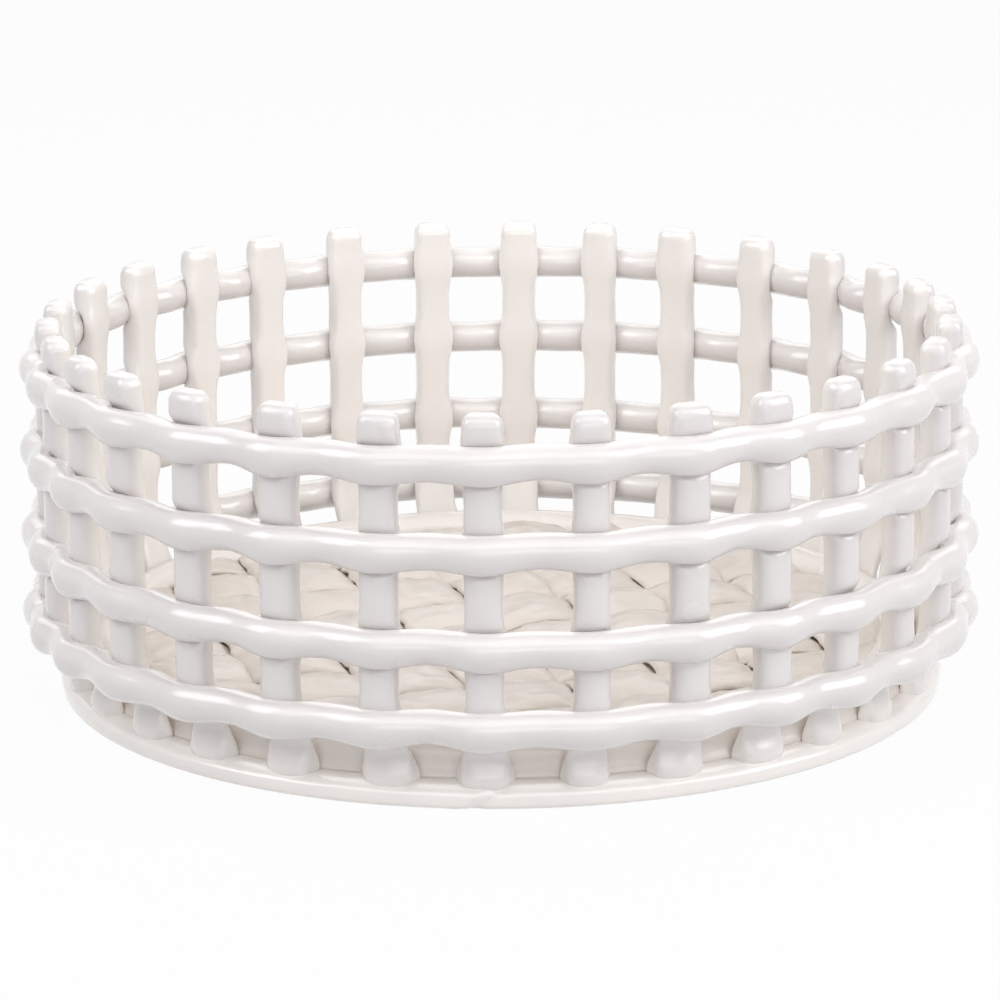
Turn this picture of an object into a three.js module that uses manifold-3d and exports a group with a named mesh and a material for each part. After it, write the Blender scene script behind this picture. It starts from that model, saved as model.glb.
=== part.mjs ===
// A round table basket of glazed clay, built by hand from rolls: a flat base plate, a floor woven
// from clay strips, a plain coil round that floor, upright posts on the rim of the plate, and four
// rings of rolled clay pressed round the outside of the posts. Millimetres, +Z up, standing on Z = 0.

import * as THREE from 'three';
import { mergeVertices } from 'three/addons/utils/BufferGeometryUtils.js';
import Module from 'manifold-3d';

const wasm = await Module();
wasm.setup();

// The basket as a whole.
const OUTER_DIAMETER = 302; // over the lowest ring, at the posts
const WALL_LEAN = 1.6; // how far the wall comes in from the lowest ring to the post tops
const JOINT_GAP = 0.3; // slip joint left open between two pieces that seat on each other

// The base plate.
const BASE_SETBACK = 11.7; // from the outside of the rings in to the edge of the plate
const BASE_THICKNESS = 7.5;
const LIP_ROUND = 4.2; // upper edge of the plate, smoothed with a wet finger
const LIP_EASE = 1.2; // lower edge of the plate

// The posts.
const POST_COUNT = 30;
const FIRST_POST = -2.15; // degrees from the front, which faces -Y, towards +X
const POST_WIDTH = 11;
const POST_THICKNESS = 8.5;
const PRESSED_POST_WIDTH = 13; // where a ring squeezes the post out sideways
const POST_PUSH = 1.5; // how far a ring pushes the back of the post into the bowl
const POST_TOP_WIDTH = 11.8;
const POST_TOP_ROUND = 2.5; // height over which the top is rounded off
const POST_TOP_EASE = 1.3; // how far the rounding draws the top in on each side
const FOOT_WIDTH = 16.5;
const FOOT_THICKNESS = 7;
const FOOT_INSET = 0.9; // from the edge of the plate in to the toe of the foot
const ANKLE_WIDTH = 12; // halfway between the foot and the lowest ring
const ANKLE_THICKNESS = 8;

// The posts are set by eye, so each strays a little along the ring: waves that go round the basket,
// in degrees.
const POST_DRIFT = [
  { waves: 2, reach: 0.53, turn: 118 },
  { waves: 3, reach: 0.34, turn: 62 },
  { waves: 4, reach: 0.61, turn: -12 },
  { waves: 5, reach: 0.27, turn: 20 },
  { waves: 6, reach: 0.42, turn: 168 },
];

// The rings, from the lowest up.
const LOWEST_RISE = 17.6; // centre of the lowest ring, on a post, above the top of the plate
const LOWER_RISE = 24.5; // and of each further ring above the one below it
const UPPER_RISE = 28;
const TOP_RISE = 26;
const POST_RISE = 15; // post tops above the centre of the top ring
const RING_THICKNESS = 10.3; // the roll between two posts
const PRESSED_RING_DEPTH = 8.8; // the roll on a post, from front to back
const PRESSED_RING_HEIGHT = 12.4;
const RING_PROUD = 5.2; // how far a ring stands out from the face of the posts
const RING_DIP = 3.8; // how far the roll falls in between two posts
const RING_LIFT = 0.8; // and how much higher it lies there
const SEAT_WIDTH = 9; // flat of a ring on a post

// The floor.
const COIL_THICKNESS = 12;
const STRIP_COUNT = 8; // each way
const STRIP_SPACING = 3.5; // open seam between two strips that lie side by side
const STRIP_END_GAP = 2.8; // from the edge of the outermost strip to the coil
const STRIP_THICKNESS = 2.6;
const STRIP_TURN = 18; // degrees from the line that runs from front to back, towards -X at the back

// How finely the round forms are cut.
const ROLL_SIDES = 8;
const ROUND_STEPS = 60;
const LIP_STEPS = 3;

// Share of a post's half width that its face and its back keep flat.
const POST_FACE_FLAT = 0.55;
const POST_BACK_FLAT = 0.75;
const FOOT_FACE_FLAT = 0.8;

// Share of a strip's half width that is full thickness, before it thins out to its edges.
const STRIP_FLAT = 0.5;

const GLAZE = { color: 0xece8e2, roughness: 0.16, metalness: 0 };
const FLOOR_GLAZE = { color: 0xe4dbcf, roughness: 0.2, metalness: 0 };

const { cos, sin, tan, PI } = Math;
const radians = THREE.MathUtils.degToRad;
const up = new THREE.Vector3(0, 0, 1);

// Sizes that follow from those above.
const outerRadius = OUTER_DIAMETER / 2;
const baseRadius = outerRadius - BASE_SETBACK;
const seatOnBase = BASE_THICKNESS + JOINT_GAP;
const lowestRing = BASE_THICKNESS + LOWEST_RISE;
const lowerRing = lowestRing + LOWER_RISE;
const upperRing = lowerRing + UPPER_RISE;
const topRing = upperRing + TOP_RISE;
const ringHeights = [lowestRing, lowerRing, upperRing, topRing];
const postTop = topRing + POST_RISE;
const footFace = baseRadius - FOOT_INSET;
const footBack = footFace - FOOT_THICKNESS;
const coilRadius = footBack - JOINT_GAP - COIL_THICKNESS / 2;
const floorRadius = coilRadius - COIL_THICKNESS / 2 - JOINT_GAP;

// Distance from the axis to the outside of the wall at a height.
function wallRadius(z) {
  return outerRadius - WALL_LEAN * (z - lowestRing) / (postTop - lowestRing);
}

// Angle of a post, from +X, with its drift.
function postAngle(number) {
  const even = radians(FIRST_POST) + number * 2 * PI / POST_COUNT;
  const drift = POST_DRIFT.reduce(
    (sum, { waves, reach, turn }) => sum + reach * cos(waves * even - radians(turn)),
    0,
  );
  return even + radians(drift) - PI / 2;
}

// Skins a row of outlines that have the same number of points, each turning to the left about the
// way that the row runs. A closed row joins up with its start, and an open one gets two flat ends.
function loft(outlines, closed = false) {
  const sides = outlines[0].length;
  const index = [];
  const spans = closed ? outlines.length : outlines.length - 1;
  for (let span = 0; span < spans; span += 1) {
    const here = span * sides;
    const there = ((span + 1) % outlines.length) * sides;
    for (let side = 0; side < sides; side += 1) {
      const next = (side + 1) % sides;
      index.push(here + side, here + next, there + next);
      index.push(here + side, there + next, there + side);
    }
  }
  if (!closed) {
    const last = spans * sides;
    for (let side = 1; side < sides - 1; side += 1) {
      index.push(0, side + 1, side);
      index.push(last, last + side, last + side + 1);
    }
  }
  return new THREE.BufferGeometry().setFromPoints(outlines.flat()).setIndex(index);
}

// Section of a roll: a ring of flats that touch an oval of the given half depth and half height.
function rollSection(halfDepth, halfHeight) {
  const reach = 1 / cos(PI / ROLL_SIDES);
  return Array.from({ length: ROLL_SIDES }, (_, side) => {
    const turn = (side + 0.5) * 2 * PI / ROLL_SIDES;
    return new THREE.Vector2(halfDepth * reach * sin(turn), halfHeight * reach * cos(turn));
  });
}

// A profile turned about the Z axis.
function turned(profile) {
  return new THREE.LatheGeometry(profile, ROUND_STEPS).rotateX(PI / 2);
}

// Base plate: a flat disc whose lip is rounded above and eased below.
function basePlate() {
  const profile = [
    new THREE.Vector2(0, 0),
    new THREE.Vector2(baseRadius - LIP_EASE, 0),
    new THREE.Vector2(baseRadius, LIP_EASE),
  ];
  for (let step = 0; step <= LIP_STEPS; step += 1) {
    const turn = step / LIP_STEPS * PI / 2;
    profile.push(new THREE.Vector2(
      baseRadius - LIP_ROUND * (1 - cos(turn)),
      BASE_THICKNESS - LIP_ROUND * (1 - sin(turn)),
    ));
  }
  profile.push(new THREE.Vector2(0, BASE_THICKNESS));
  return turned(profile);
}

// Coil round the floor: one roll that lies on the plate, inside the feet of the posts.
function floorCoil() {
  const half = COIL_THICKNESS / 2;
  const profile = rollSection(half, half).reverse().map(
    (point) => new THREE.Vector2(coilRadius + point.x, seatOnBase + half + point.y),
  );
  return turned([...profile, profile[0]]);
}

// One level of a post: flat at the back, fuller in front, seen from above with the face to +X.
function postOutline(z, { face, back, width, faceFlat = POST_FACE_FLAT }) {
  const half = width / 2;
  const middle = (face + back) / 2;
  return [
    new THREE.Vector3(face, -half * faceFlat, z),
    new THREE.Vector3(face, half * faceFlat, z),
    new THREE.Vector3(middle, half, z),
    new THREE.Vector3(back, half * POST_BACK_FLAT, z),
    new THREE.Vector3(back, -half * POST_BACK_FLAT, z),
    new THREE.Vector3(middle, -half, z),
  ];
}

// Post: a flattened roll, splayed into a foot on the plate, that gives way inwards behind each ring
// and swells again in between. Every ring beds in a flat seat across its face.
function post() {
  const seatHalf = PRESSED_RING_HEIGHT / 2 * tan(PI / ROLL_SIDES);
  const free = (z, width = POST_WIDTH, shrink = 0) => {
    const face = wallRadius(z) - RING_PROUD - shrink;
    const back = wallRadius(z) - RING_PROUD - POST_THICKNESS + shrink;
    return postOutline(z, { face, back, width: width - 2 * shrink });
  };
  const pressed = (z, ring) => postOutline(z, {
    face: wallRadius(ring) - PRESSED_RING_DEPTH - JOINT_GAP,
    back: wallRadius(ring) - RING_PROUD - POST_THICKNESS - POST_PUSH,
    width: PRESSED_POST_WIDTH,
    faceFlat: (SEAT_WIDTH - 2 * JOINT_GAP) / PRESSED_POST_WIDTH,
  });
  const ankleFace = (footFace + wallRadius(lowestRing) - PRESSED_RING_DEPTH) / 2;
  const outlines = [
    postOutline(seatOnBase, {
      face: footFace,
      back: footBack,
      width: FOOT_WIDTH,
      faceFlat: FOOT_FACE_FLAT,
    }),
    postOutline((seatOnBase + lowestRing - PRESSED_RING_HEIGHT / 2) / 2, {
      face: ankleFace,
      back: ankleFace - ANKLE_THICKNESS,
      width: ANKLE_WIDTH,
    }),
  ];
  ringHeights.forEach((ring, i) => {
    outlines.push(pressed(ring - seatHalf, ring), pressed(ring + seatHalf, ring));
    if (i + 1 < ringHeights.length) {
      outlines.push(free((ring + ringHeights[i + 1]) / 2));
    }
  });
  outlines.push(free(postTop - POST_TOP_ROUND, POST_TOP_WIDTH));
  outlines.push(free(postTop, POST_TOP_WIDTH, POST_TOP_EASE));
  return loft(outlines);
}

// Ring: one long roll closed on itself, pressed flat and tall on each post, where it seats, and
// round and drawn in towards the bowl between two posts.
function ring(height) {
  const section = (angle, aside, { centre, middle }, halfDepth, halfHeight) => (
    rollSection(halfDepth, halfHeight).map((point) => (
      new THREE.Vector3(centre + point.x, aside, middle + point.y)
        .applyAxisAngle(up, angle)
    ))
  );
  const onPost = [PRESSED_RING_DEPTH / 2, PRESSED_RING_HEIGHT / 2];
  const between = [RING_THICKNESS / 2, RING_THICKNESS / 2];
  const seatCentre = wallRadius(height) - PRESSED_RING_DEPTH / 2;
  const seat = { centre: seatCentre, middle: height };
  const free = { centre: seatCentre - RING_DIP, middle: height + RING_LIFT };
  const outlines = [];
  for (let number = 0; number < POST_COUNT; number += 1) {
    const here = postAngle(number);
    const halfway = (here + postAngle(number + 1)) / 2;
    outlines.push(section(here, -SEAT_WIDTH / 2, seat, ...onPost));
    outlines.push(section(here, SEAT_WIDTH / 2, seat, ...onPost));
    outlines.push(section(halfway, 0, free, ...between));
  }
  return loft(outlines, true);
}

// A closed geometry as a solid that can be cut, and back again.
function solidOf(geometry) {
  const bare = geometry.clone();
  bare.deleteAttribute('normal');
  bare.deleteAttribute('uv');
  const merged = mergeVertices(bare);
  return new wasm.Manifold(new wasm.Mesh({
    numProp: 3,
    vertProperties: merged.attributes.position.array,
    triVerts: new Uint32Array(merged.index.array),
  }));
}

function geometryOf(solid) {
  const { vertProperties, triVerts } = solid.getMesh();
  return new THREE.BufferGeometry()
    .setAttribute('position', new THREE.BufferAttribute(vertProperties, 3))
    .setIndex(new THREE.BufferAttribute(triVerts, 1));
}

// Woven floor: strips both ways, each over and under the next, trimmed round inside the coil. The
// wave is just high enough for two strips to pass where both are at full thickness.
const stripPitch = (2 * (floorRadius - STRIP_END_GAP) + STRIP_SPACING) / STRIP_COUNT;
const stripWidth = stripPitch - STRIP_SPACING;
const stripWave = (STRIP_THICKNESS + JOINT_GAP) / 2 / (1 - STRIP_FLAT * stripWidth / stripPitch);
const weaveMiddle = seatOnBase + stripWave + STRIP_THICKNESS / 2;

// Where a strip lies, counted across the floor. One more on each side carries the wave to the coil.
function stripPlace(number) {
  return (number - (STRIP_COUNT - 1) / 2) * stripPitch;
}

// The two rows count each other's strips from opposite ends, so one of them shifts its over and under.
function strip(number, shift) {
  const half = stripWidth / 2;
  const thick = STRIP_THICKNESS / 2;
  const outlines = [];
  for (let crossing = -1; crossing <= STRIP_COUNT; crossing += 1) {
    const over = (number + crossing + shift) % 2 === 0;
    const x = stripPlace(crossing);
    const z = over ? stripWave : -stripWave;
    outlines.push([
      new THREE.Vector3(x, half, z),
      new THREE.Vector3(x, half * STRIP_FLAT, z + thick),
      new THREE.Vector3(x, -half * STRIP_FLAT, z + thick),
      new THREE.Vector3(x, -half, z),
      new THREE.Vector3(x, -half * STRIP_FLAT, z - thick),
      new THREE.Vector3(x, half * STRIP_FLAT, z - thick),
    ]);
  }
  const weaveHeight = 2 * (stripWave + STRIP_THICKNESS);
  const trim = new THREE.CylinderGeometry(floorRadius, floorRadius, weaveHeight, ROUND_STEPS)
    .rotateX(PI / 2)
    .translate(0, -stripPlace(number), 0);
  return geometryOf(solidOf(loft(outlines)).intersect(solidOf(trim)));
}

// The assembly: every piece is a mesh of its own, with its own glaze.
function piece(name, geometry, glaze = GLAZE) {
  const mesh = new THREE.Mesh(geometry, new THREE.MeshStandardMaterial(glaze));
  mesh.name = name;
  return mesh;
}

const basket = new THREE.Group();
basket.add(piece('base_plate', basePlate()));
basket.add(piece('floor_coil', floorCoil(), FLOOR_GLAZE));

const rows = [
  { row: 'a', turn: PI / 2, shift: 0 },
  { row: 'b', turn: PI, shift: STRIP_COUNT },
];
rows.forEach(({ row, turn, shift }) => {
  const layer = new THREE.Group();
  layer.rotation.z = turn + radians(STRIP_TURN);
  layer.position.z = weaveMiddle;
  for (let number = 0; number < STRIP_COUNT; number += 1) {
    const mesh = piece(`floor_strip_${row}${number + 1}`, strip(number, shift), FLOOR_GLAZE);
    mesh.position.y = stripPlace(number);
    layer.add(mesh);
  }
  basket.add(layer);
});

const postShape = post();
for (let number = 0; number < POST_COUNT; number += 1) {
  const mesh = piece(`post_${String(number + 1).padStart(2, '0')}`, postShape);
  mesh.rotation.z = postAngle(number);
  basket.add(mesh);
}

basket.add(piece('ring_lowest', ring(lowestRing)));
basket.add(piece('ring_lower', ring(lowerRing)));
basket.add(piece('ring_upper', ring(upperRing)));
basket.add(piece('ring_top', ring(topRing)));

export default basket;
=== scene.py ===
import math

import bpy
from mathutils import Matrix, Vector


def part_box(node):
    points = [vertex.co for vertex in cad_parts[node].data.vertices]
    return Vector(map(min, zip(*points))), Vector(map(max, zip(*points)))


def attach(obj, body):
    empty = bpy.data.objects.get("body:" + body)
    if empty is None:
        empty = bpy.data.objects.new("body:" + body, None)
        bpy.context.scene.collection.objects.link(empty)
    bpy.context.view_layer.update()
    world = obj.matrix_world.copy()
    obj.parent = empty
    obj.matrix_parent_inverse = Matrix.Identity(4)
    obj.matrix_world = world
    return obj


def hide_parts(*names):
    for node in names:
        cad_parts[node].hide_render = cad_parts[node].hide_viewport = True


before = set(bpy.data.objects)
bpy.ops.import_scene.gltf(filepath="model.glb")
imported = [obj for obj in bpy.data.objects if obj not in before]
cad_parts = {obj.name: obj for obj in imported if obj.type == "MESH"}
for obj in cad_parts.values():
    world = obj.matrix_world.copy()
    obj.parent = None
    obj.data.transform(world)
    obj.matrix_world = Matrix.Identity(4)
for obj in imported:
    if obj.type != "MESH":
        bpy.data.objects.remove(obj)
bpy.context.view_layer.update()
bpy.context.scene.view_settings.view_transform = "Standard"


# Base plate: a flat disc rolled out of stoneware clay, its lip rounded with a wet finger all the way
# round, with the small slanting seam at the front where the edge was closed. Everything stands on it.

MM = 0.001
TURN = 2 * math.pi
plate_low, plate_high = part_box("base_plate")
plate_top = plate_high.z


class Term:
    """A socket in a node tree. Sums written with terms add their Math nodes to the tree."""

    def __init__(self, socket):
        self.socket = socket

    def node(self, kind, settings=None, inputs=None):
        """Adds a node to the same tree: its settings first, then the values or links of its sockets."""
        made = self.socket.id_data.nodes.new(kind)
        for name, value in (settings or {}).items():
            setattr(made, name, value)
        for name, value in (inputs or {}).items():
            if isinstance(name, int):
                socket = made.inputs[name]
            else:
                socket = next(s for s in made.inputs if s.name == name and s.enabled)
            if isinstance(value, Term):
                self.socket.id_data.links.new(value.socket, socket)
            else:
                socket.default_value = value
        return Term(next(s for s in made.outputs if s.enabled))

    def out(self, name):
        """Another output of the node that this term comes from."""
        return Term(next(s for s in self.socket.node.outputs if s.name == name and s.enabled))

    def maths(self, operation, *values):
        return self.node("ShaderNodeMath", {"operation": operation}, dict(enumerate(values)))

    def __add__(self, other):
        return self.maths("ADD", self, other)

    def __radd__(self, other):
        return self.maths("ADD", other, self)

    def __sub__(self, other):
        return self.maths("SUBTRACT", self, other)

    def __rsub__(self, other):
        return self.maths("SUBTRACT", other, self)

    def __mul__(self, other):
        return self.maths("MULTIPLY", self, other)

    def __rmul__(self, other):
        return self.maths("MULTIPLY", other, self)

    def __truediv__(self, other):
        return self.maths("DIVIDE", self, other)

    def __pow__(self, other):
        return self.maths("POWER", self, other)

    def sin(self):
        return self.maths("SINE", self)

    def cos(self):
        return self.maths("COSINE", self)

    def floor(self):
        return self.maths("FLOOR", self)

    def size(self):
        return self.maths("ABSOLUTE", self)

    def at_least(self, other):
        return self.maths("MAXIMUM", self, other)

    def fold(self, power):
        """The term to a power, with its sign kept: it squares off a circle."""
        return self.maths("SIGN", self) * self.size() ** power

    def ramp(self, start, end, low=0.0, high=1.0):
        """Runs from low to high while the term goes from start to end, and stays there."""
        return self.node("ShaderNodeMapRange", {"clamp": True}, {
            "Value": self, "From Min": start, "From Max": end, "To Min": low, "To Max": high,
        })

    def ease(self, start, end):
        """A soft step from 0 to 1 while the term goes from start to end."""
        return self.node("ShaderNodeMapRange", {"clamp": True, "interpolation_type": "SMOOTHSTEP"}, {
            "Value": self, "From Min": start, "From Max": end,
        })

    def swell(self, middle, reach):
        """A smooth hump of height 1 round a middle."""
        aside = (self - middle) / reach
        return self.maths("EXPONENT", 0.0 - aside * aside)

    def shelf(self, middle, reach):
        """A hump like swell, but flat on top and steep at its sides."""
        aside = (self - middle) / reach
        square = aside * aside
        return self.maths("EXPONENT", 0.0 - square * square)


def form(name, sizes):
    """An empty tree for the shape of a piece, with a named input for each of its sizes."""
    tree = bpy.data.node_groups.new(name, "GeometryNodeTree")
    tree.interface.new_socket("Geometry", in_out="OUTPUT", socket_type="NodeSocketGeometry")
    for size in sizes:
        tree.interface.new_socket(size, in_out="INPUT", socket_type="NodeSocketFloat")
    entry = tree.nodes.new("NodeGroupInput")
    return [Term(entry.outputs[size]) for size in sizes]


def store(geometry, name, value):
    """Keeps a value with the points of a shape, under a name that later nodes and the glaze can read."""
    return geometry.node("GeometryNodeStoreNamedAttribute", {"data_type": "FLOAT", "domain": "POINT"}, {
        "Geometry": geometry, "Name": name, "Value": value,
    })


def kept(geometry, name):
    """A value that was stored with the points of a shape."""
    return geometry.node("GeometryNodeInputNamedAttribute", {"data_type": "FLOAT"}, {"Name": name})


def slab(start, steps_along, steps_across, ring=False, roll=True):
    """A plain sheet of clay as a grid, closed to a ring or a roll or both, with its faces outwards.

    Its points keep how far they lie along and across it, from 0 to 1.
    """
    def line(steps, closed, name):
        if closed:
            curve = start.node("GeometryNodeCurvePrimitiveCircle", {}, {"Resolution": steps})
        else:
            straight = start.node("GeometryNodeCurvePrimitiveLine")
            curve = start.node("GeometryNodeResampleCurve", {}, {"Curve": straight, "Count": steps + 1})
        return store(curve, name, start.node("GeometryNodeSplineParameter"))

    sheet = start.node("GeometryNodeCurveToMesh", {}, {
        "Curve": line(steps_along, ring, "along"), "Profile Curve": line(steps_across, roll, "across"),
    })
    if ring:
        return start.node("GeometryNodeFlipFaces", {}, {"Mesh": sheet})
    return sheet


def shaped(geometry, x, y, z):
    """Moves every point of a sheet to its place on the finished piece."""
    place = geometry.node("ShaderNodeCombineXYZ", {}, {"X": x, "Y": y, "Z": z})
    return geometry.node("GeometryNodeSetPosition", {}, {"Geometry": geometry, "Position": place})


def handled(geometry, depth, size, seed, share=1.0):
    """Soft hollows and lumps left by fingers, at right angles to the surface."""
    where = geometry.node("GeometryNodeInputPosition")
    lumps = geometry.node("ShaderNodeTexNoise", {"noise_dimensions": "4D"}, {
        "Vector": where, "W": seed, "Scale": 1 / size, "Detail": 1.0, "Roughness": 0.4,
    })
    out = geometry.node("GeometryNodeInputNormal")
    push = geometry.node("ShaderNodeVectorMath", {"operation": "SCALE"}, {
        "Vector": out, "Scale": (lumps - 0.5) * (2 * depth) * share,
    })
    return geometry.node("GeometryNodeSetPosition", {}, {"Geometry": geometry, "Offset": push})


def cast(name, tree, sizes):
    """Runs a closed tree with these sizes and keeps the result as a plain mesh."""
    piece = bpy.data.objects.new(name, bpy.data.meshes.new(name))
    bpy.context.scene.collection.objects.link(piece)
    shape = piece.modifiers.new("shape", "NODES")
    shape.node_group = tree
    for item in tree.interface.items_tree:
        if item.in_out == "INPUT":
            shape[item.identifier] = float(sizes[item.name])
    whole = piece.evaluated_get(bpy.context.evaluated_depsgraph_get())
    mesh = bpy.data.meshes.new_from_object(whole)
    piece.modifiers.remove(shape)
    piece.data = mesh
    return piece


def fired(name, geometry, sizes, coating):
    """Closes the seams and poles of a shape, glazes it, ends its tree and casts the piece."""
    tree = geometry.socket.id_data
    joined = geometry.node("GeometryNodeMergeByDistance", {}, {"Geometry": geometry, "Distance": 0.002 * MM})
    smooth = geometry.node("GeometryNodeSetShadeSmooth", {}, {"Geometry": joined})
    real = geometry.node("GeometryNodeRealizeInstances", {}, {"Geometry": smooth})
    painted = geometry.node("GeometryNodeSetMaterial", {}, {"Geometry": real, "Material": coating})
    leave = tree.nodes.new("NodeGroupOutput")
    tree.links.new(painted.socket, leave.inputs[0])
    return cast(name, tree, sizes)


def glaze(name, full, shaded_colour, gloss, peel, clear):
    """A glaze over pale clay: its full colour, and a second, darker colour that is painted shade.

    A value stored on the points says how much of the second colour each place gets: painted shade on the
    sides that lie in shade, an even share as tone, and random blotches on top. It has a faint orange peel
    and a few pinholes.
    """
    material = bpy.data.materials.new(name)
    material.use_nodes = True
    shader = material.node_tree.nodes["Principled BSDF"]
    start = Term(shader.outputs[0])
    where = start.node("ShaderNodeTexCoord").out("Object")
    cloud = start.node("ShaderNodeTexNoise", {}, {
        "Vector": where, "Scale": 1 / (34 * MM), "Detail": 3.0, "Roughness": 0.55,
    })
    speck = start.node("ShaderNodeTexNoise", {}, {
        "Vector": where, "Scale": 1 / (2.2 * MM), "Detail": 2.0, "Roughness": 0.6,
    })
    ripple = start.node("ShaderNodeTexNoise", {}, {
        "Vector": where, "Scale": 1 / (5.5 * MM), "Detail": 2.0, "Roughness": 0.45,
    })
    cell = start.node("ShaderNodeTexVoronoi", {"feature": "F1"}, {
        "Vector": where, "Scale": 1 / (11 * MM), "Randomness": 1.0,
    })
    shade_and_tone = start.node("ShaderNodeAttribute", {"attribute_name": "shade_and_tone"}).out("Fac")
    # The mix of the two colours: random blotches of the glaze's own tone, plus the painted shade stored on
    # the points.
    blotches_and_shade = ((cloud - 0.5) * 0.5 + (speck - 0.5) * 0.15 + shade_and_tone + 0.1).ramp(0.0, 1.0)
    colour = start.node("ShaderNodeMix", {"data_type": "RGBA"}, {
        "Factor": blotches_and_shade, "A": (*full, 1.0), "B": (*shaded_colour, 1.0),
    })
    rough = gloss + (cloud - 0.5) * 0.1 + shade_and_tone * 0.06
    pinhole = 1 - cell.ramp(0.02, 0.045)
    height = ripple * peel + speck * (0.08 * peel) - pinhole * 0.7
    relief = start.node("ShaderNodeBump", {}, {"Strength": 1.0, "Distance": 0.16 * MM, "Height": height})
    for socket, term in (("Base Color", colour), ("Roughness", rough), ("Normal", relief)):
        material.node_tree.links.new(term.socket, shader.inputs[socket])
    shader.inputs["IOR"].default_value = 1.52
    shader.inputs["Coat Weight"].default_value = clear
    shader.inputs["Coat Roughness"].default_value = 0.16
    return material


# The white is the glaze's own colour. The grey is painted shade for the outer and lower sides of the posts
# and rings, a shaded copy of the white.
WALL_WHITE = (0.95, 0.913, 0.868)
WALL_SHADE_GREY = (0.745, 0.715, 0.705)
wall_glaze = glaze("wall_glaze", WALL_WHITE, WALL_SHADE_GREY, gloss=0.2, peel=0.8, clear=0.9)

plate_sizes = {
    "Radius": plate_high.x,
    "Thickness": plate_top,
    "Seam angle": math.radians(-93.5),
    "Seam depth": 1.0 * MM,
    "Lip round below": 4.0 * MM,
    "Lip round above": 7.0 * MM,
}
radius, thickness, seam_angle, seam_depth, round_below, round_above = form("base_plate_form", plate_sizes)
disc = slab(radius, 480, 60, ring=True, roll=False)
angle = kept(disc, "along") * TURN
across = kept(disc, "across")
round_lip = across.ramp(0.15, 0.85, -math.pi / 2, math.pi / 2)
inwards = across.ramp(0.0, 0.15) * across.ramp(0.85, 1.0, 1.0, 0.0)
squared = round_lip.ramp(-0.4, 0.4, 0.55, 1.0)
edge = thickness / 2
height = edge + edge * round_lip.sin().fold(squared)
from_seam = (angle - (seam_angle + TURN)) * radius
slant = height * 1.2
seam = from_seam.swell(slant, 2.2 * MM) - 0.5 * from_seam.swell(slant - 4.5 * MM, 3.0 * MM)
slope = round_lip.ramp(-0.2, 0.2, round_below, round_above)
reach = (radius - slope * (1.0 - round_lip.cos().fold(squared)) - seam * seam_depth) * inwards
disc = shaped(disc, angle.cos() * reach, angle.sin() * reach, height)
off_the_table = (height / thickness).ease(0.1, 0.6) * inwards.ease(0.9, 1.0)
disc = handled(disc, 0.22 * MM, 22 * MM, 3.0, off_the_table)
base_plate = fired("clay_base_plate", disc, plate_sizes, wall_glaze)
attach(base_plate, "root")
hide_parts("base_plate")


# Floor coil: one plain roll of clay laid on the plate inside the feet of the posts, which hides the
# ends of the woven floor. It is luted down with slip and smoothed by hand.

coil_low, coil_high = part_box("floor_coil")
coil_half = (coil_high.z - coil_low.z) / 2
# The cream is the floor glaze's own colour. The brown is painted shade for the hollows of the weave and for
# the shaded outer side of the coil.
FLOOR_CREAM = (0.925, 0.883, 0.838)
FLOOR_SHADE_BROWN = (0.69, 0.622, 0.557)
floor_glaze = glaze("floor_glaze", FLOOR_CREAM, FLOOR_SHADE_BROWN, gloss=0.28, peel=2.2, clear=0.45)

coil_sizes = {
    "Radius": coil_high.x - coil_half,
    "Half thickness": coil_half,
    "Height": (coil_low.z + coil_high.z) / 2,
    "Slip height": 13.0 * MM,
    "Slip width": 2.8 * MM,
}
radius, half, middle, slip_high, slip_wide = form("floor_coil_form", coil_sizes)
coil = slab(radius, 600, 32, ring=True)
angle = kept(coil, "along") * TURN
around = kept(coil, "across") * TURN
bedded = around.sin().ramp(-0.5, 0.3, 0.45, 1.0)
sunk = around.sin().ramp(0.0, -1.0, 0.4 * MM, 1.4 * MM)
height = middle + half * around.sin().fold(bedded) - sunk
slip = height.ramp(slip_high, plate_top) ** 2.0 * slip_wide
reach = radius + (half + slip) * around.cos().fold(bedded)
coil = shaped(coil, angle.cos() * reach, angle.sin() * reach, height)
# Painted shade: the outer side of the coil, which lies in shade under the lowest ring between the feet, is
# mixed towards the brown.
coil = store(coil, "shade_and_tone", around.cos().ease(-0.2, 0.4) * 0.35)
coil = handled(coil, 0.35 * MM, 26 * MM, 11.0)
floor_coil = fired("clay_floor_coil", coil, coil_sizes, floor_glaze)
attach(floor_coil, "root")
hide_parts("floor_coil")


# Floor strips: flat ribbons of clay woven over and under each other while soft, eight each way, so
# that each is a row of plump pads with a hollow at every corner, darkened with painted shade. The
# coil covers their ends.

STRIPS = 8
STRIP_TURN = math.radians(18)
MIDDLE_STRIP = (STRIPS - 1) / 2
END = 0.03
strip_nodes = [f"floor_strip_{row}{n + 1}" for row in "ab" for n in range(STRIPS)]
strip_boxes = [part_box(name) for name in strip_nodes]
weave_low = min(low.z for low, high in strip_boxes)
weave_high = max(high.z for low, high in strip_boxes)


def copies(start, count, shape):
    """Sets a shape out a number of times; each copy keeps its number, so that it can be formed alone."""
    points = start.node("GeometryNodeMeshLine", {}, {"Count": count})
    spots = start.node("GeometryNodeInstanceOnPoints", {}, {"Points": points, "Instance": shape})
    numbered = start.node("GeometryNodeStoreNamedAttribute", {"data_type": "FLOAT", "domain": "INSTANCE"}, {
        "Geometry": spots, "Name": "number", "Value": start.node("GeometryNodeInputIndex"),
    })
    return start.node("GeometryNodeRealizeInstances", {}, {"Geometry": numbered})


def streaks(start, x, y, z):
    """A cloud of lines round 0, finer or coarser along each of three measures of the clay."""
    where = start.node("ShaderNodeCombineXYZ", {}, {"X": x, "Y": y, "Z": z})
    return start.node("ShaderNodeTexNoise", {}, {
        "Vector": where, "Scale": 1.0, "Detail": 2.0, "Roughness": 0.5,
    }) - 0.5


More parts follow.
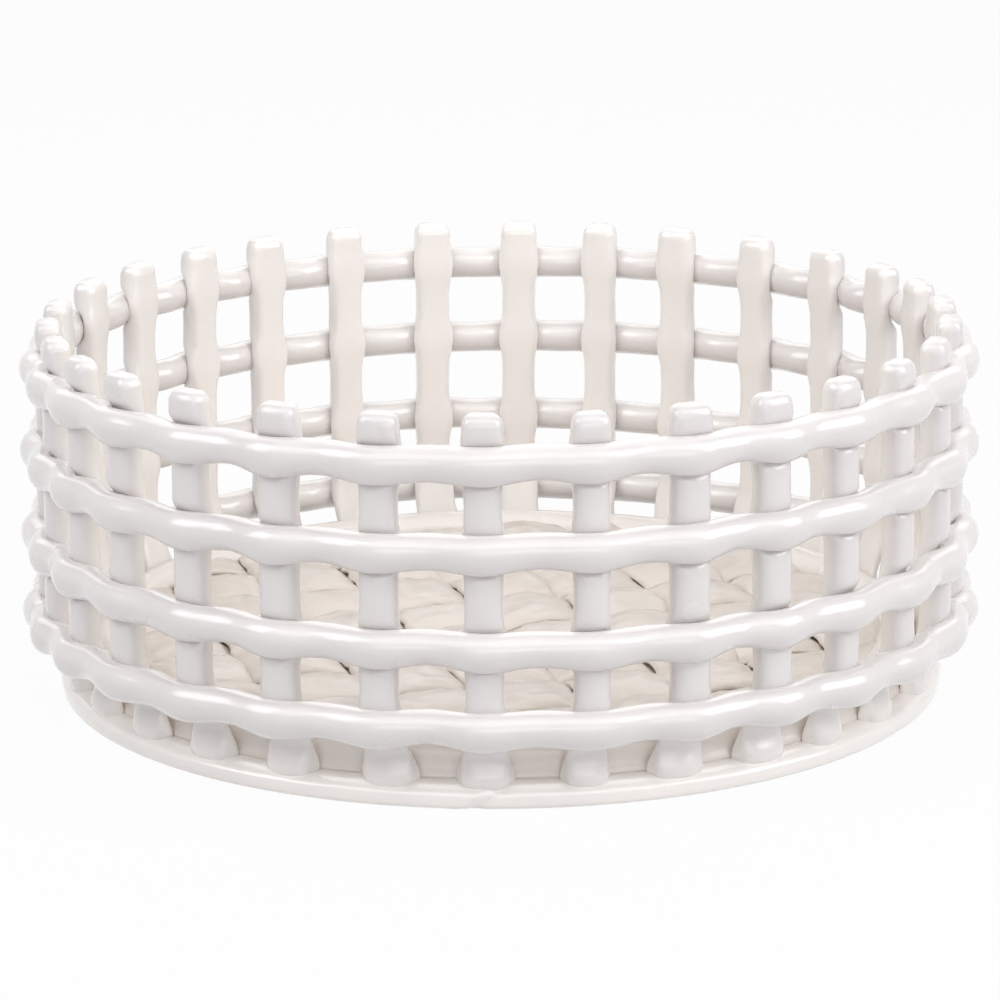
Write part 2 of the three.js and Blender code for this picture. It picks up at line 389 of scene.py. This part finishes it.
strip_sizes = {
    "Floor radius": coil_low.x * -1 - 2 * coil_half + 3.0 * MM,
    "Pitch": 29.44 * MM,
    "Half width": 13.8 * MM,
    "Half thickness": 2.3 * MM,
    "Wave": 3.2 * MM,
    "Middle": (weave_low + weave_high) / 2,
    "Tear": 5.0 * MM,
    "Wrinkle": 2.6 * MM,
}
floor_radius, pitch, half, thick, wave, middle, tear, wrinkle = form("floor_strip_form", strip_sizes)
weave = copies(pitch, 2 * STRIPS, slab(pitch, 150, 40))
number = kept(weave, "number")
along = kept(weave, "along")
around = kept(weave, "across") * TURN
row = (number / STRIPS).floor()
place_in_row = number - row * STRIPS
ends = along.ramp(0.0, END) * along.ramp(1 - END, 1.0, 1.0, 0.0)
way = along.ramp(END, 1 - END, -1.0, 1.0)
centre_line = (place_in_row - MIDDLE_STRIP) * pitch
longest = (floor_radius * floor_radius - centre_line * centre_line) ** 0.5
pad = way * longest / pitch + MIDDLE_STRIP + place_in_row
sway = ((pad + number) * 1.9).sin() * (0.7 * MM) + (pad * 0.83 - number * 2.3).sin() * (0.6 * MM)
bulge = 1.0 + 0.07 * (pad * math.pi).cos()
torn = streaks(weave, pad * 3.5, number * 5.0, around.cos().ease(-0.3, 0.3) * 9.0) * tear
aside = centre_line + ((half * bulge + torn) * around.cos().fold(0.85) + sway) * ends
chord = (floor_radius * floor_radius - aside * aside).ramp(0.0, 1.0) ** 0.5
run = way * chord
crossing = run / pitch + MIDDLE_STRIP
over = ((place_in_row + crossing) * math.pi).cos()
plump = thick * (1.0 + 0.2 * over) * around.sin() * ends
height = middle + wave * over.fold(0.7) + plump
turn = math.pi / 2 + STRIP_TURN + row * (math.pi / 2)
x = run * turn.cos() - aside * turn.sin()
y = run * turn.sin() + aside * turn.cos()
weave = shaped(weave, x, y, height)
# Painted shade: the edges of the pads take the brown, most where a strip dips under its neighbour, as in
# shaded hollows; the even 0.72 is the floor's tone.
edge_of_pad = around.cos().size().ease(0.75, 1.0)
weave = store(weave, "shade_and_tone", 0.72 + 0.8 * edge_of_pad * over.ramp(0.4, -0.6))
creased = streaks(weave, crossing * 2.2, aside / (3.2 * MM), number * 5.0) * wrinkle
weave = handled(weave, 0.9 * MM, 10 * MM, 21.0, ends)
weave = handled(weave, 0.32 * MM, 4 * MM, 23.0, ends)
lowered = weave.node("ShaderNodeCombineXYZ", {}, {"Z": creased})
weave = weave.node("GeometryNodeSetPosition", {}, {"Geometry": weave, "Offset": lowered})
floor_strips = fired("clay_floor_strips", weave, strip_sizes, floor_glaze)
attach(floor_strips, "root")
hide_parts(*strip_nodes)


# Posts: thirty short flattened rolls of clay stood on the rim of the plate, each splayed into a foot
# and stuck down with slip. The rings press them in, and they swell sideways where that happens.

POSTS = 30
FIRST_POST = math.radians(-2.15)
POST_DRIFT = ((2, 0.53, 118), (3, 0.34, 62), (4, 0.61, -12), (5, 0.27, 20), (6, 0.42, 168))
SHAFT_START, SHAFT_END, CAP_START = 0.02, 0.84, 0.94
WALL_RADIUS = 151.0 * MM
post_nodes = [f"post_{n + 1:02d}" for n in range(POSTS)]
post_low, post_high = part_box("post_01")
ring_nodes = ("ring_lowest", "ring_lower", "ring_upper", "ring_top")
ring_seats = [(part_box(name)[0].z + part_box(name)[1].z) / 2 for name in ring_nodes]
wall_lean = 1.6 * MM / (post_high.z - ring_seats[0])


def set_by_eye(even):
    """Where a post that should stand at an even angle was really set, with the front at -Y."""
    angle = even - math.pi / 2
    for waves, reach, turn in POST_DRIFT:
        angle = angle + (even * waves - math.radians(turn)).cos() * math.radians(reach)
    return angle


def chance(number, seed, low, high):
    """A number of its own for each copy, the same on every run."""
    return number.node("FunctionNodeRandomValue", {"data_type": "FLOAT"}, {
        "Min": low, "Max": high, "ID": number, "Seed": seed,
    })


post_sizes = {
    "Wall radius": WALL_RADIUS,
    "Foot height": plate_top - 2.8 * MM,
    "Top height": post_high.z - 0.5 * MM,
    "Half width": 5.45 * MM,
    "Foot half width": 7.3 * MM,
    "Pressed half width": 6.6 * MM,
    "Face setback": 5.2 * MM,
    "Back setback": 13.7 * MM,
    "Foot step out": 9.4 * MM,
    "Foot step in": 5.9 * MM,
    "Cap round": 3.8 * MM,
    "Cap inset": 2.6 * MM,
}
(wall, foot, top, half, foot_half, pressed_half,
 face_setback, back_setback, step_out, step_in, cap_round, cap_inset) = form("post_form", post_sizes)
posts = copies(wall, POSTS, slab(wall, 100, 32))
number = kept(posts, "number")
along = kept(posts, "along")
around = kept(posts, "across") * TURN

# The height of each point: up the shaft, then over the rounded edge of the cap to its middle.
own_top = top - chance(number, 5, 0.0, 0.5) * MM
bend = along.ramp(SHAFT_END, CAP_START, 0.0, math.pi / 2)
inset = cap_inset * (1.0 - bend.cos())
close = along.ramp(0.0, SHAFT_START) * along.ramp(CAP_START, 1.0, 1.0, 0.0)
shaft = along.ramp(SHAFT_START, SHAFT_END)
rise = shaft * (own_top - cap_round - foot) + cap_round * bend.sin()
height = foot + rise + along.ease(CAP_START, 1.0) * (0.15 * MM)

# The face, the back and the width at that height: the foot first, then where each ring presses.
outside = wall - (height - ring_seats[0]) * wall_lean
toe = height.swell(plate_top + 0.5 * MM, 5.0 * MM) * (2.2 * MM)
hoof = height.ramp(plate_top + 1.6 * MM, foot) ** 2.0 * (1.2 * MM)
face = outside - face_setback - height.ease(30 * MM, 14 * MM) * step_out + toe - hoof
back = outside - back_setback - height.ease(30 * MM, 8 * MM) * step_in
splay = height.ease(27 * MM, plate_top + 1.5 * MM) * chance(number, 13, 0.6, 1.15)
cap = height.ease(104 * MM, 111 * MM)
width = half + cap * (0.35 * MM) + (foot_half - half) * splay - hoof
for ring_seat, bite in zip(ring_seats, (1.9, 3.5, 3.5, 3.5)):
    face = face - height.shelf(ring_seat, 5.4 * MM) * (bite * MM)
    back = back - height.swell(ring_seat, 6.5 * MM) * (0.5 * MM)
    width = width + (pressed_half - half) * height.swell(ring_seat, 5.6 * MM)
width = width * chance(number, 9, 0.95, 1.06)

# The outline across: rounder outside than inside, round at the toe, and boxy in the cap.
rounder = height.ease(20 * MM, plate_top) * around.cos().ease(-0.2, 0.4) * 0.7
rounder = rounder.at_least(along.ease(CAP_START, 0.98))
square = (0.72 - 0.16 * cap + (0.2 - 0.13 * cap) * around.cos()) * (1.0 - rounder) + 0.95 * rounder
depth = ((face - back) / 2 - inset) * around.cos().fold(square) * close
reach = (face + back) / 2 + depth
lean = chance(number, 17, -0.008, 0.008) * (height - foot)
lean = lean + chance(number, 19, -1.6, 1.6) * height.ease(22 * MM, plate_top) * MM
fan = height.ease(17 * MM, plate_top) * around.cos().ramp(0.1, -0.7) * 0.42
aside = (width * (1.0 + fan) - inset) * around.sin().fold(square) * close + lean
angle = set_by_eye(FIRST_POST + number * (TURN / POSTS))
x = angle.cos() * reach - angle.sin() * aside
y = angle.sin() * reach + angle.cos() * aside
posts = shaped(posts, x, y, height)
# Painted light and shade: the outer faces of the posts above the feet are mixed towards the grey as if
# shaded by the rings, while the inner faces keep the warm white of light bounced round inside and the feet
# stay paler as if lit.
above_foot = height.ease(10 * MM, 24 * MM)
posts = store(posts, "shade_and_tone", around.cos().ease(-0.4, 0.4) * (0.45 + above_foot * 0.5))
posts = handled(posts, 0.24 * MM, 16 * MM, 31.0, close)
posts = handled(posts, 0.1 * MM, 5 * MM, 33.0, close)
clay_posts = fired("clay_posts", posts, post_sizes, wall_glaze)
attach(clay_posts, "root")
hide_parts(*post_nodes)


# Rings: four long rolls of clay wound round the outside of the posts and pressed on with a finger at
# each one, so that they lie flat and tall on the posts and round and drawn in between them.

RING_TILT = 0.9 * MM
HIGH_SIDES = (-90, 180, -40, -20)
ring_sizes = {
    "Height": 0.0,
    "Wall radius": 0.0,
    "Half thickness": 5.2 * MM,
    "Pressed half depth": 4.4 * MM,
    "Pressed half height": 6.3 * MM,
    "Dip": 3.1 * MM,
    "Lift": 0.3 * MM,
    "High side": 0.0,
    "Seed": 0.0,
}
seat, wall, half, pressed_depth, pressed_height, dip, lift, high_side, seed = form("ring_form", ring_sizes)
roll = slab(seat, 1080, 36, ring=True)
even = kept(roll, "along") * TURN
around = kept(roll, "across") * TURN
angle = set_by_eye(even)
gap = (even - FIRST_POST) * (POSTS / TURN)
gap_number = gap.floor()
uneven = 0.9 + 0.13 * (even * 7.0 + seed).sin() + 0.1 * (even * 12.0 - seed).sin()
free = (0.5 - 0.5 * (gap * TURN).cos()) * uneven
pressed = 1.0 - free
depth = half + (pressed_depth - half) * pressed
sagged = 0.2 + 0.8 * around.cos().ease(-0.35, 0.35) * around.sin().ease(0.4, -0.4)
tall = half + (pressed_height - half) * pressed * sagged

# Creases across the roll, only at the far sides, each at its own place, slant and depth.
own_number = gap_number + seed
from_fold = gap - gap_number - chance(own_number, 3, 0.4, 0.6)
from_fold = from_fold + around.sin() * chance(own_number, 4, -0.07, 0.07)
far_side = (angle.cos() * angle.cos()).ease(0.68, 0.92)
fold_depth = chance(own_number, 6, -0.3, 0.9).ramp(0.0, 1.0) * far_side
fold = from_fold.swell(0.0, 0.05) * fold_depth * around.cos().ease(-0.4, 0.4)

reach = wall - pressed_depth - dip * free + (depth - fold * MM) * around.cos()
ride = lift * free + (angle - high_side).cos() * RING_TILT
height = seat + ride + (tall - fold * (0.6 * MM)) * around.sin()
roll = shaped(roll, angle.cos() * reach, angle.sin() * reach, height)
# Painted shade: the outer side and most of all the underside of each ring are mixed towards the grey, as if
# in shade; the even 0.45 is tone.
outer = around.cos().ease(-0.5, 0.5)
under = around.sin().ease(0.5, -0.6)
roll = store(roll, "shade_and_tone", 0.45 + outer * 0.25 + under * 0.35)
roll = handled(roll, 0.36 * MM, 19 * MM, seed)
roll = handled(roll, 0.1 * MM, 6 * MM, seed + 2.0)
for place, (name, ring_seat, side) in enumerate(zip(ring_nodes, ring_seats, HIGH_SIDES)):
    ring_sizes["Height"] = ring_seat
    ring_sizes["Wall radius"] = WALL_RADIUS - 0.3 * MM - (ring_seat - ring_seats[0]) * wall_lean
    ring_sizes["High side"] = math.radians(side)
    ring_sizes["Seed"] = 41.0 + 7.0 * place
    if place == 0:
        ring = fired(f"clay_{name}", roll, ring_sizes, wall_glaze)
    else:
        ring = cast(f"clay_{name}", roll.socket.id_data, ring_sizes)
    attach(ring, "root")
    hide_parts(name)


# Studio: a pale paper floor that runs on past the frame in a white room, wide soft boxes high in front
# and behind, smaller ones low in front, overhead and to both sides, and the camera a little above.

PAPER = 6.0
paper = bpy.data.meshes.new("paper_floor")
corners = [(-PAPER, -PAPER, 0), (PAPER, -PAPER, 0), (PAPER, PAPER, 0), (-PAPER, PAPER, 0)]
paper.from_pydata(corners, [], [(0, 1, 2, 3)])
paper_floor = bpy.data.objects.new("paper_floor", paper)
bpy.context.scene.collection.objects.link(paper_floor)
paper_floor.location.z = -0.02 * MM


def in_view(start):
    """1 for the camera and for what the glaze mirrors, 0 for the light that falls on the clay."""
    path = start.node("ShaderNodeLightPath")
    return path.out("Is Camera Ray").at_least(path.out("Is Glossy Ray"))


white_paper = bpy.data.materials.new("white_paper")
white_paper.use_nodes = True
white_paper.node_tree.nodes.clear()
sheet_end = Term(white_paper.node_tree.nodes.new("ShaderNodeOutputMaterial").inputs["Surface"])
lit = sheet_end.node("ShaderNodeBsdfDiffuse", {}, {"Color": (0.78, 0.78, 0.78, 1.0)})
bright = sheet_end.node("ShaderNodeEmission", {}, {"Color": (1.0, 1.0, 1.0, 1.0), "Strength": 1.0})
both = sheet_end.node("ShaderNodeMixShader", {}, {0: in_view(sheet_end) * 0.95, 1: lit, 2: bright})
white_paper.node_tree.links.new(both.socket, sheet_end.socket)
paper.materials.append(white_paper)

ROOM_LIGHT = 0.07
world = bpy.data.worlds.new("white_room")
bpy.context.scene.world = world
world.use_nodes = True
room = world.node_tree.nodes["Background"]
strength = ROOM_LIGHT + (1 - ROOM_LIGHT) * in_view(Term(room.outputs[0]))
world.node_tree.links.new(strength.socket, room.inputs["Strength"])
room.inputs["Color"].default_value = (1.0, 1.0, 1.0, 1.0)

LIT_POINT = Vector((0, 0, 0.06))
DAYLIGHT = (0.985, 0.977, 1.0)
WARM = (1.0, 0.98, 0.96)


def soft_box(name, place, width, height, watts, tint):
    """A rectangle of even light that faces the basket."""
    lamp = bpy.data.lights.new(name, "AREA")
    lamp.shape = "RECTANGLE"
    lamp.size = width
    lamp.size_y = height
    lamp.energy = watts
    lamp.color = tint
    box = bpy.data.objects.new(name, lamp)
    bpy.context.scene.collection.objects.link(box)
    box.location = place
    box.rotation_euler = (LIT_POINT - Vector(place)).to_track_quat("-Z", "Y").to_euler()


soft_box("front_box", (0.1, -1.05, 1.25), 2.6, 1.0, 13.2, DAYLIGHT)
soft_box("low_box", (0.2, -1.6, 0.4), 1.8, 0.5, 4.0, DAYLIGHT)
soft_box("top_box", (0.0, 0.1, 1.6), 1.4, 1.2, 4.2, WARM)
soft_box("right_box", (1.3, -0.45, 0.75), 1.0, 0.8, 9.4, DAYLIGHT)
soft_box("left_box", (-1.25, -0.5, 1.0), 0.9, 0.9, 8.4, DAYLIGHT)
soft_box("back_box", (0.0, 1.1, 1.2), 2.6, 1.4, 10.5, WARM)

DISTANCE = 1368.7 * MM
RISE = math.radians(14.72)
LEVEL = math.radians(0.406)
aim = Vector((0, 0, 56.0 * MM))
lens = bpy.data.cameras.new("table_camera")
lens.sensor_width = 36.0
lens.lens = 156.24
camera = bpy.data.objects.new("table_camera", lens)
bpy.context.scene.collection.objects.link(camera)
stand = aim + Vector((0, -DISTANCE * math.cos(RISE), DISTANCE * math.sin(RISE)))
look = (aim - stand).to_track_quat("-Z", "Y").to_matrix().to_4x4()
camera.matrix_world = Matrix.Translation(stand) @ look @ Matrix.Rotation(-LEVEL, 4, "Z")
bpy.context.scene.camera = camera
